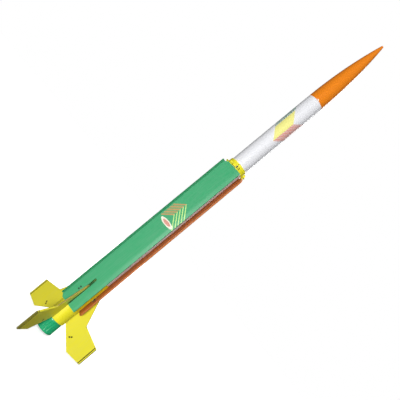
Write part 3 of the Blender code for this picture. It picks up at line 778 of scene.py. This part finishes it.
def make_blade(number, angle, paint, slot, leaf_paint, steel):
    """A sanded balsa blade with its fin slot, clipped corners, hinge pocket and catch holes."""
    body = f"blade_{number}"
    section = rounded([
        (BLADE_INNER, BLADE_LEFT),
        (BLADE_INNER, BLADE_RIGHT),
        (BLADE_OUTER - 0.45, BLADE_RIGHT),
        (BLADE_OUTER, BLADE_RIGHT - 5.0),
        (BLADE_OUTER, BLADE_LEFT),
    ], [0.3, 0.3, 0.35, 30.0, 1.0], 8)
    blade = plain_object(f"blade_panel_{number}", turned(prism(section, BLADE_BOTTOM, BLADE_TOP, "Z"), angle))
    half = FIN_HALF + 0.45
    slit = [(-half, BLADE_BOTTOM - 5.0), (half, BLADE_BOTTOM - 5.0)]
    steps = 24
    for step in range(steps + 1):
        sweep = math.pi * step / steps
        slit.append((half * math.cos(sweep), FIN_ROOT_TOP + 1.5 + half * math.sin(sweep)))
    margin = 3.0
    through = (BLADE_INNER - margin, BLADE_OUTER + margin)
    carve(blade, turned(prism(slit, *through, "X"), angle))
    for height, way, size in ((BLADE_TOP, 1, TOP_CUT), (BLADE_BOTTOM, -1, LOW_CUT)):
        wedge = [
            (BLADE_LEFT - margin, height - way * (size + margin)),
            (BLADE_LEFT - margin, height + way * margin),
            (BLADE_LEFT + size + margin, height + way * margin),
        ]
        carve(blade, turned(prism(wedge, *through, "X"), angle))
    pocket = block((BLADE_INNER - 1.0, BLADE_INNER + 1.1), (-LEAF_HALF - 0.3, LEAF_HALF + 0.3),
                   (BLADE_TOP - LEAF_HEIGHT - 0.3, BLADE_TOP + 2.0))
    carve(blade, turned(pocket, angle))
    hole_half = 0.7
    for height in CATCH_TANGS:
        hole = block(through, *((middle - hole_half, middle + hole_half) for middle in (CATCH_Y, height)))
        carve(blade, turned(hole, angle))
    soften(blade, 0.16, 2, 50.0)
    fit(blade, paint, body, [f"rotor_blade_{number}"])
    make_leaf(number, angle, leaf_paint, body)
    make_catch(number, angle, steel, body)


def make_leaf(number, angle, paint, body):
    """The blade's hinge plate, with a rolled knuckle at each side of the hub's lug."""
    half, bottom, gap = LEAF_HALF, BLADE_TOP - LEAF_HEIGHT, (-3.6, 4.9)
    shoulder, thick, knuckle_r, overlap = BLADE_TOP - 0.4, 0.8, 1.5, 0.12
    lean = math.tan(HINGE_CANT)
    left, right = (HINGE_Z - 0.15 + lean * ends / 2 for ends in (gap[0] - half, gap[1] + half))
    plate = rounded([
        (-half, bottom), (half, bottom), (half, right), (gap[1], right),
        (gap[1], shoulder), (gap[0], shoulder), (gap[0], left), (-half, left),
    ], [1.2, 1.2, 0.05, 0.05, 0.5, 0.5, 0.05, 0.05], 4)
    bm = prism(plate, BLADE_INNER, BLADE_INNER + thick, "X")
    leaf = plain_object(f"leaf_plate_{number}", turned(bm, angle))
    for ends in ((-half - overlap, gap[0] + overlap), (gap[1] - overlap, half + overlap)):
        carve(leaf, turned(hinge_rod(*ends, knuckle_r), angle), "UNION")
    carve(leaf, turned(hinge_rod(-10.0, 10.0, PIN_BORE_R), angle))
    soften(leaf, 0.1, 2, 50.0)
    fit(leaf, paint, body, [f"hinge_leaf_{number}"])


def make_catch(number, angle, steel, body):
    """The bent spring strip that holds the folded blade in, with its two tang ends through the blade."""
    half = 0.5
    back = (BLADE_INNER - 1.0, BLADE_INNER - 0.3)
    end = BLADE_OUTER + 0.2
    upper, lower = CATCH_TANGS
    reach, foot = 8.8, CATCH_FOOT
    outline = rounded([
        (reach - half, foot), (reach + half, foot), (reach + half, upper - half), (back[0], upper - half),
        (back[0], lower - half), (end, lower - half), (end, lower + half), (back[1], lower + half),
        (back[1], upper - half), (end, upper - half), (end, upper + half), (reach - half, upper + half),
    ], [0.3, 0.3, 0.25, 0.25, 0.4, 0.2, 0.2, 0.1, 0.1, 0.2, 0.2, 0.6], 4)
    bm = prism(outline, CATCH_Y - half, CATCH_Y + half, "Y")
    catch = plain_object(f"catch_strip_{number}", turned(bm, angle))
    soften(catch, 0.1, 2, 50.0)
    fit(catch, steel, body, [f"blade_catch_{number}"])


# ---------------------------------------------------------------- pod and nose

def make_pod(green_plastic):
    """The tail cap, with a rounded rim and shallow upright flutes for grip."""
    skirt, spigot, shoulder = 11.5, 11.35, TUBE_BOTTOM - 0.3
    flutes, depth, land, run_out = 18, 0.8, 2.2, 1.2

    def fluted(radius, angle, height):
        if radius < TUBE_R - 0.01:
            return radius
        ends = min(1.0, (height - CAP_BOTTOM - land) / run_out, (shoulder - land - height) / run_out)
        groove = max(0.0, math.cos(flutes * angle)) ** 2
        return radius - depth * groove * max(0.0, ends)

    steps, levels = 6, (1.8, 2.2, 2.8, 3.4)
    section = [(skirt, CAP_BOTTOM), (TUBE_R, CAP_BOTTOM), (TUBE_R, shoulder)]
    rim = rounded(section, [0.3, 0.9, 0.2], steps)[:2 * (steps + 1)]
    heights = [CAP_BOTTOM + level for level in levels] + [shoulder - level for level in reversed(levels)]
    profile = rim + [(TUBE_R, height) for height in heights] + [
        (TUBE_R, shoulder - 0.2),
        (TUBE_R - 0.2, shoulder),
        (INSIDE_FIT, shoulder),
        (INSIDE_FIT, CAP_TOP - 0.5),
        (INSIDE_FIT - 0.2, CAP_TOP),
        (spigot, CAP_TOP),
        (spigot, shoulder - 2.0),
        (skirt, shoulder - 2.4),
    ]
    cap = plain_object("cap_fluted", lathe(profile, flutes * 12, fluted))
    fit(cap, green_plastic, "pod", ["tail_cap"], 50.0)


def make_nose(orange_plastic):
    """The moulded nose: a smooth blunt-tipped ogive with its shoulder, thin-walled inside."""
    length = NOSE_TIP + 7.5 - NOSE_BASE
    arc = (TUBE_R ** 2 + length ** 2) / (2 * TUBE_R)

    def ogive(height):
        return math.sqrt(arc ** 2 - (height - NOSE_BASE) ** 2) - arc + TUBE_R

    rings, rounding, chamfer, wall = 56, 1.6, 0.15, 1.3
    bore = INSIDE_FIT - 1.0
    step = [(bore, NOSE_BOTTOM), (INSIDE_FIT, NOSE_BOTTOM), (INSIDE_FIT, NOSE_BASE)]
    shoulder = rounded(step, [0.0, 0.8, 0.0])
    outer = shoulder + [(TUBE_R - chamfer, NOSE_BASE)]
    start, end = NOSE_BASE + chamfer, NOSE_TIP - rounding
    for ring in range(rings):
        height = start + (end - start) * ring / (rings - 1)
        outer.append((ogive(height), height))
    for step in range(1, 8):
        sweep = math.pi / 2 * step / 8
        outer.append((ogive(end) * math.cos(sweep), end + rounding * math.sin(sweep)))
    outer.append((0.0, NOSE_TIP))
    inner = [(0.0, NOSE_BASE + (NOSE_TIP - NOSE_BASE) * 0.92)]
    for step in range(12):
        height = NOSE_BASE + (NOSE_TIP - NOSE_BASE) * (0.8 - 0.76 * step / 11)
        inner.append((ogive(height) - wall, height))
    inner.append((bore, NOSE_BASE))
    nose = plain_object("nose_ogive", lathe(outer + inner, 96))
    fit(nose, orange_plastic, "nose", ["nose_cone"], 50.0)


# ---------------------------------------------------------------- stage, light and camera

FLOOR_R, FLOOR_DROP, FLOOR_GLOW = 30000.0, 0.2, 0.66
AMBIENT = 0.07
LIGHT_DISTANCE = 1.6
SOFT_BOXES = (
    # name, direction it shines from, power, size
    ("key", (0.557, 0.108, -0.06), 33.0, 0.45),
    ("back_fill", (-1.0, 0.05, 0.35), 20.0, 1.2),
)
OVERHEAD_STRENGTH, OVERHEAD_SPREAD = 1.3, math.radians(40.0)
CAMERA_ANGLES = (15.45, 5.57, 50.35)
CAMERA_PLACE = Vector((0.55734, 0.15606, 0.1941))
CAMERA_LENS = 40.8


def make_stage():
    p = Paint("floor_paper", 0.9, specular=0.2)
    floor_paint = p.finish(p.mix(p.noise(0.004, detail=3.0), *FLOOR_GREYS))
    p.shader.inputs["Emission Color"].default_value = (1.0, 1.0, 1.0, 1.0)
    p.shader.inputs["Emission Strength"].default_value = FLOOR_GLOW
    bm = bmesh.new()
    bmesh.ops.create_circle(bm, cap_ends=True, segments=96, radius=FLOOR_R)
    bmesh.ops.translate(bm, vec=(0, 0, -FLOOR_DROP), verts=bm.verts)
    floor = plain_object("floor", bm)
    floor.data.materials.append(floor_paint)
    floor.visible_diffuse = False
    floor.visible_glossy = False


def make_world():
    """A white room for the camera, and a much dimmer one as the light that comes from all round."""
    world = bpy.data.worlds.new("studio")
    world.use_nodes = True
    bpy.context.scene.world = world
    nodes, links = world.node_tree.nodes, world.node_tree.links
    around = nodes["Background"]
    around.inputs["Color"].default_value = (0.96, 0.98, 1.0, 1.0)
    around.inputs["Strength"].default_value = AMBIENT
    seen = nodes.new("ShaderNodeBackground")
    seen.inputs["Color"].default_value = (1.0, 1.0, 1.0, 1.0)
    mix = nodes.new("ShaderNodeMixShader")
    links.new(nodes.new("ShaderNodeLightPath").outputs["Is Camera Ray"], mix.inputs[0])
    links.new(around.outputs[0], mix.inputs[1])
    links.new(seen.outputs[0], mix.inputs[2])
    links.new(mix.outputs[0], nodes["World Output"].inputs["Surface"])


def make_soft_box(name, toward, power, size):
    """A square light that shines at the middle of the rocket from a direction."""
    centre = (CAD_BOX[0] + CAD_BOX[1]) / 2
    data = bpy.data.lights.new(name, "AREA")
    data.energy = power
    data.size = size
    light = bpy.data.objects.new(name, data)
    light.location = centre + Vector(toward).normalized() * LIGHT_DISTANCE
    light.rotation_euler = Vector(toward).to_track_quat("Z", "Y").to_euler()
    bpy.context.scene.collection.objects.link(light)


def make_lights():
    for soft_box in SOFT_BOXES:
        make_soft_box(*soft_box)
    data = bpy.data.lights.new("overhead", "SUN")
    data.energy = OVERHEAD_STRENGTH
    data.angle = OVERHEAD_SPREAD
    overhead = bpy.data.objects.new("overhead", data)
    bpy.context.scene.collection.objects.link(overhead)


def make_camera():
    """Looks at the rocket's middle from in front and below, rolled so that the nose is up and right."""
    azimuth, elevation, roll = (math.radians(a) for a in CAMERA_ANGLES)
    forward = Vector((-math.cos(elevation) * math.cos(azimuth), -math.cos(elevation) * math.sin(azimuth),
                      math.sin(elevation)))
    side = forward.cross(Vector((0, 0, 1))).normalized()
    top = side.cross(forward)
    right = side * math.cos(roll) + top * math.sin(roll)
    up = top * math.cos(roll) - side * math.sin(roll)
    data = bpy.data.cameras.new("camera")
    data.lens = CAMERA_LENS
    data.sensor_width = 36.0
    data.clip_start = 0.01
    camera = bpy.data.objects.new("camera", data)
    turn = Matrix((right, up, -forward)).transposed().to_4x4()
    camera.matrix_world = Matrix.Translation(CAMERA_PLACE) @ turn
    bpy.context.scene.collection.objects.link(camera)
    bpy.context.scene.camera = camera
    bpy.context.scene.view_settings.view_transform = "Standard"


# ---------------------------------------------------------------- all of it

def repaint(node, paint):
    """Gives a CAD node that stays its own material."""
    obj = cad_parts[node]
    obj.data.materials.clear()
    obj.data.materials.append(paint)


def main():
    steel = spring_steel("spring_steel_wire", 0.22)
    dark_steel = spring_steel("blued_steel_strip", 0.025, 0.5, 0.2)
    yellow_plastic = moulded("yellow_moulding", YELLOW, 0.30)
    green_plastic = moulded("green_moulding", MOULDED_GREEN, 0.27)
    orange_plastic = moulded("orange_moulding", MOULDED_ORANGE, 0.30)
    white_paper = coated_paper()
    balsa = bare_balsa()
    tube_kraft, board_kraft = kraft("kraft_winding"), kraft("kraft_board", False)
    fin_paint = painted_wood("yellow_gloss", YELLOW, 1.2, fin_marks)
    sleeve_plastic = moulded("yellow_sleeve", YELLOW, 0.30, sleeve_slot_shade)
    make_airframe(yellow_plastic, sleeve_plastic, white_paper, fin_paint, steel, balsa)
    # The orange blade and its hinge plate take the darker orange, painted shade; bright_face gives the outer
    # face its own orange.
    green_leaf, orange_leaf = hinge_plate_paint("green_leaf", GREEN), hinge_plate_paint("orange_leaf", SHADED_ORANGE)
    blades = {
        1: (painted_wood("green_gloss_marked", GREEN, 1.4, chevron_marks), "green_paint", green_leaf),
        2: (painted_wood("orange_gloss", SHADED_ORANGE, 1.4, bright_face), "orange_paint", orange_leaf),
        3: (painted_wood("green_gloss", GREEN, 1.4, painted_shade_edges), "green_paint", green_leaf),
    }
    for number, angle in STATIONS.items():
        make_blade(number, angle, *blades[number], dark_steel)
    make_pod(green_plastic)
    make_nose(orange_plastic)
    for node in ("bulkhead", "pod_stop_ring", "aft_ring", "forward_ring", "thrust_ring"):
        repaint(node, board_kraft)
    repaint("motor_tube", tube_kraft)
    repaint("latch_ring", green_plastic)
    repaint("engine_hook", steel)
    repaint("nose_plug", orange_plastic)
    make_stage()
    make_world()
    make_lights()
    make_camera()


main()
